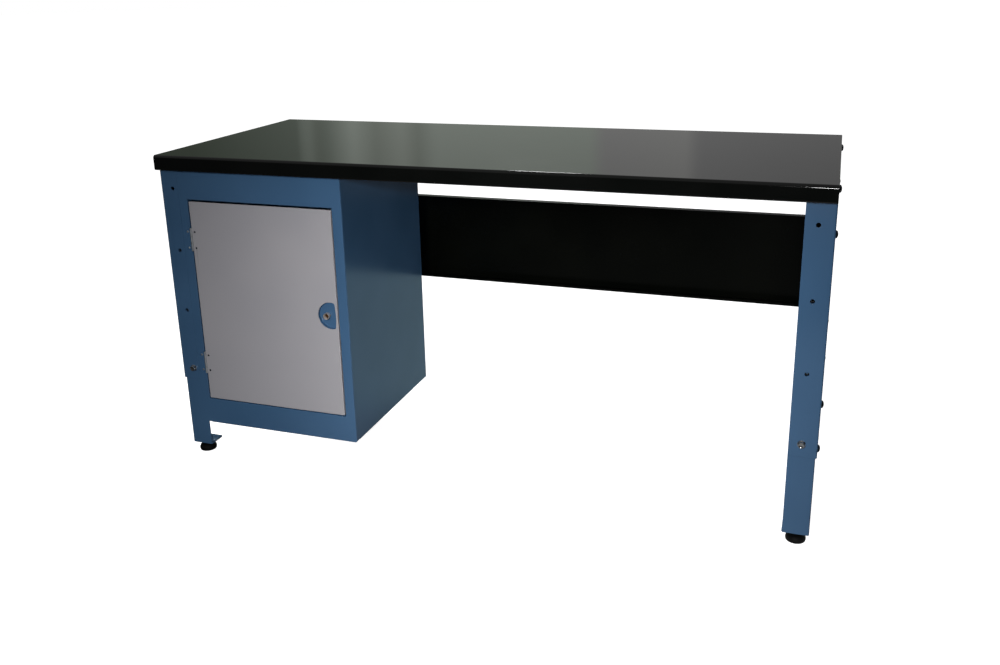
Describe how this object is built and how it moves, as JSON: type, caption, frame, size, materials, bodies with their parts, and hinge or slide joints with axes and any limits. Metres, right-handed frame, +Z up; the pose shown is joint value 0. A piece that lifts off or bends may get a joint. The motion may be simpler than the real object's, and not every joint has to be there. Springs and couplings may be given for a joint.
{
  "type": "workbench with cabinet",
  "caption": "Steel-framed workbench with a black worktop, telescopic angle legs on levelling feet, a rear apron and a lockable cabinet with a hinged door under the left end.",
  "frame": {"origin": "on the floor under the middle of the worktop", "axes": "+X along the bench to the right of a person standing at it, +Y from the front to the rear, +Z up"},
  "size_m": [1.8112, 0.736, 0.914],
  "materials": {
    "black_laminate": "black laminate, satin gloss",
    "blue_paint": "blue powder coat, semi-gloss",
    "grey_paint": "light grey powder coat",
    "black_paint": "black powder coat",
    "black_plastic": "moulded black plastic",
    "zinc": "bright zinc plate",
    "dark_steel": "blackened steel",
    "chrome": "polished chrome"
  },
  "bodies": {
    "bench": {"apron": "black_paint", "apron_bolt_lower_left": "dark_steel", "apron_bolt_lower_right": "dark_steel", "apron_bolt_upper_left": "dark_steel", "apron_bolt_upper_right": "dark_steel", "cabinet_back": "blue_paint", "cabinet_floor": "blue_paint", "cabinet_frame": "blue_paint", "cabinet_left": "blue_paint", "cabinet_right": "blue_paint", "cabinet_shelf": "blue_paint", "clamp_bolt_face_front_left": "zinc", "clamp_bolt_face_front_right": "zinc", "clamp_bolt_face_rear_left": "zinc", "clamp_bolt_face_rear_right": "zinc", "clamp_bolt_side_front_left": "dark_steel", "clamp_bolt_side_front_right": "dark_steel", "clamp_bolt_side_rear_left": "dark_steel", "clamp_bolt_side_rear_right": "dark_steel", "hinge_lower_frame_leaf": "zinc", "hinge_lower_pin": "zinc", "hinge_upper_frame_leaf": "zinc", "hinge_upper_pin": "zinc", "leg_lower_front_left": "blue_paint", "leg_lower_front_right": "blue_paint", "leg_lower_rear_left": "blue_paint", "leg_lower_rear_right": "blue_paint", "leg_upper_front_left": "blue_paint", "leg_upper_front_right": "blue_paint", "leg_upper_rear_left": "blue_paint", "leg_upper_rear_right": "blue_paint", "rail_bolt_lower_front_left": "dark_steel", "rail_bolt_lower_front_right": "dark_steel", "rail_bolt_lower_rear_left": "dark_steel", "rail_bolt_lower_rear_right": "dark_steel", "rail_bolt_upper_front_left": "dark_steel", "rail_bolt_upper_front_right": "dark_steel", "rail_bolt_upper_rear_left": "dark_steel", "rail_bolt_upper_rear_right": "dark_steel", "rail_lower_left": "blue_paint", "rail_lower_right": "blue_paint", "rail_upper_left": "blue_paint", "rail_upper_right": "blue_paint", "top_bolt_front_left": "dark_steel", "top_bolt_front_right": "dark_steel", "top_bolt_rear_left": "dark_steel", "top_bolt_rear_right": "dark_steel", "worktop": "black_laminate"},
    "door": {"door": "grey_paint", "lock_cup": "blue_paint", "lock_housing": "chrome", "lock_nut": "zinc", "hinge_upper_door_leaf": "zinc", "hinge_lower_door_leaf": "zinc"},
    "lock": {"lock_plug": "chrome", "lock_cam": "zinc"},
    "foot_front_left": {"foot_front_left": "black_plastic"},
    "foot_front_right": {"foot_front_right": "black_plastic"},
    "foot_rear_left": {"foot_rear_left": "black_plastic"},
    "foot_rear_right": {"foot_rear_right": "black_plastic"}
  },
  "joints": [
    {"name": "door_hinge", "type": "hinge", "parent": "bench", "child": "door", "pos_m": [-0.8175, -0.3482, 0.4855], "axis": [0, 0, -1], "range_deg": [0, 110]},
    {"name": "lock_turn", "type": "hinge", "parent": "door", "child": "lock", "pos_m": [-0.4055, -0.348, 0.4805], "axis": [0, -1, 0], "range_deg": [0, 90]},
    {"name": "level_front_left", "type": "slide", "parent": "bench", "child": "foot_front_left", "axis": [0, 0, -1], "range_m": [0, 0.02]},
    {"name": "level_front_right", "type": "slide", "parent": "bench", "child": "foot_front_right", "axis": [0, 0, -1], "range_m": [0, 0.02]},
    {"name": "level_rear_left", "type": "slide", "parent": "bench", "child": "foot_rear_left", "axis": [0, 0, -1], "range_m": [0, 0.02]},
    {"name": "level_rear_right", "type": "slide", "parent": "bench", "child": "foot_rear_right", "axis": [0, 0, -1], "range_m": [0, 0.02]}
  ]
}
